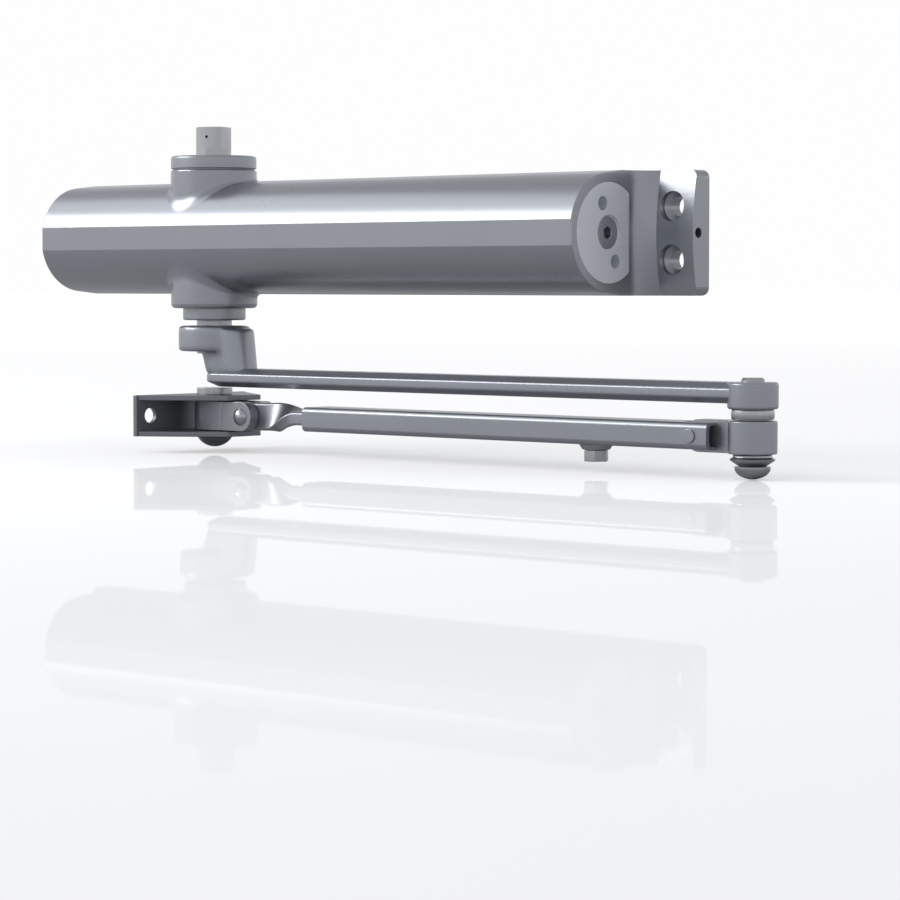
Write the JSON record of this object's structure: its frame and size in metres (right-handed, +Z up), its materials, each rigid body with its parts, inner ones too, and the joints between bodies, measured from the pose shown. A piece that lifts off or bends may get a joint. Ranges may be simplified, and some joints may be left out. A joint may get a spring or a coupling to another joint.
{
  "type": "surface door closer",
  "caption": "Surface door closer: rounded cylinder body with end lugs, square spindle, and a folded two-piece arm with elbow, adjustable forearm and jamb shoe.",
  "frame": {"origin": "middle of the four mounting holes, on the body's back mounting face", "axes": "+Y out of the mounting face towards the door, +X along the body towards its spring end, +Z up along the spindle"},
  "size_m": [0.3723, 0.06, 0.1288],
  "materials": {
    "cast_body": "satin silver paint over a die casting",
    "arm_steel": "satin silver paint over forged steel",
    "plated_steel": "zinc plated, turned",
    "cap_metal": "turned aluminium, satin",
    "bracket_steel": "satin silver paint over pressed steel",
    "bearing_bronze": "sintered bronze, oiled",
    "spring_steel": "oil-tempered spring steel",
    "piston_iron": "machined iron, oiled",
    "seal_rubber": "nitrile rubber"
  },
  "bodies": {
    "closer_body": {"casting": "cast_body", "right_plug": "cap_metal", "left_plug": "cap_metal", "plug_seals": "seal_rubber", "main_spring": "spring_steel", "top_bearing": "bearing_bronze", "bottom_bearing": "bearing_bronze", "top_cap": "cap_metal", "bottom_cap": "cap_metal", "spindle_seals": "seal_rubber"},
    "power_adjuster": {"power_screw": "plated_steel", "screw_clip": "spring_steel"},
    "spring_stop": {"spring_seat": "bearing_bronze"},
    "sweep_regulator": {"sweep_valve": "plated_steel"},
    "latch_regulator": {"latch_valve": "plated_steel"},
    "piston_unit": {"piston": "piston_iron", "piston_rings": "seal_rubber", "check_ball": "plated_steel", "ball_retainer": "plated_steel"},
    "spindle_unit": {"pinion_spindle": "plated_steel", "main_arm": "arm_steel", "arm_set_screw": "plated_steel", "elbow_pin": "plated_steel", "elbow_spacer": "plated_steel", "elbow_dish": "plated_steel"},
    "elbow_unit": {"elbow_knuckle": "arm_steel", "elbow_bush": "bearing_bronze"},
    "forearm_unit": {"forearm_tube": "arm_steel", "tilt_rivet": "plated_steel", "clamp_washer": "plated_steel"},
    "clamp_unit": {"clamp_screw": "plated_steel"},
    "rod_unit": {"adjusting_rod": "arm_steel"},
    "block_unit": {"swivel_block": "arm_steel", "block_rivet": "plated_steel"},
    "shoe_unit": {"shoe_bracket": "bracket_steel", "shoe_rivet": "plated_steel"}
  },
  "joints": [
    {"name": "spindle_turn", "type": "hinge", "parent": "closer_body", "child": "spindle_unit", "pos_m": [-0.0636, -0.028, 0], "axis": [0, 0, 1], "range_deg": [-170, 0], "stiffness_Nm_per_rad": 0.35, "springref_deg": 34.38},
    {"name": "piston_slide", "type": "slide", "parent": "closer_body", "child": "piston_unit", "axis": [1, 0, 0], "range_m": [0, 0.0225], "deforming": ["main_spring"]},
    {"name": "power_screw_turn", "type": "hinge", "parent": "closer_body", "child": "power_adjuster", "pos_m": [0.13, -0.028, 0], "axis": [1, 0, 0], "range_deg": [0, 2161]},
    {"name": "spring_seat_slide", "type": "slide", "parent": "closer_body", "child": "spring_stop", "axis": [1, 0, 0], "range_m": [-0.009, 0]},
    {"name": "sweep_valve_turn", "type": "hinge", "parent": "closer_body", "child": "sweep_regulator", "pos_m": [-0.14, -0.037, 0], "axis": [1, 0, 0], "range_deg": [0, 360]},
    {"name": "latch_valve_turn", "type": "hinge", "parent": "closer_body", "child": "latch_regulator", "pos_m": [-0.14, -0.019, 0], "axis": [1, 0, 0], "range_deg": [0, 360]},
    {"name": "elbow_turn", "type": "hinge", "parent": "spindle_unit", "child": "elbow_unit", "pos_m": [0.2024, -0.028, -0.0705], "axis": [0, 0, 1], "range_deg": [-150, 150]},
    {"name": "elbow_tilt", "type": "hinge", "parent": "elbow_unit", "child": "forearm_unit", "pos_m": [0.1811, -0.028, -0.0705], "axis": [0, 1, 0], "range_deg": [-6, 0]},
    {"name": "clamp_screw_turn", "type": "hinge", "parent": "forearm_unit", "child": "clamp_unit", "pos_m": [0.1334, -0.028, -0.08], "axis": [0, 0, 1], "range_deg": [-360, 0]},
    {"name": "rod_slide", "type": "slide", "parent": "forearm_unit", "child": "rod_unit", "axis": [-1, 0, 0], "range_m": [-0.003, 0.028]},
    {"name": "shoe_tilt", "type": "hinge", "parent": "rod_unit", "child": "block_unit", "pos_m": [-0.0414, -0.028, -0.0705], "axis": [0, 1, 0], "range_deg": [0, 6]},
    {"name": "shoe_turn", "type": "hinge", "parent": "block_unit", "child": "shoe_unit", "pos_m": [-0.0636, -0.028, -0.0705], "axis": [0, 0, 1], "range_deg": [-85, 85]}
  ],
  "couplings": [
    {"joint": "piston_slide", "follows": "spindle_turn", "m_per_rad": -0.0075},
    {"joint": "power_screw_turn", "follows": "spring_seat_slide", "rad_per_m": -4188.8},
    {"joint": "shoe_tilt", "follows": "elbow_tilt", "ratio": -1}
  ]
}
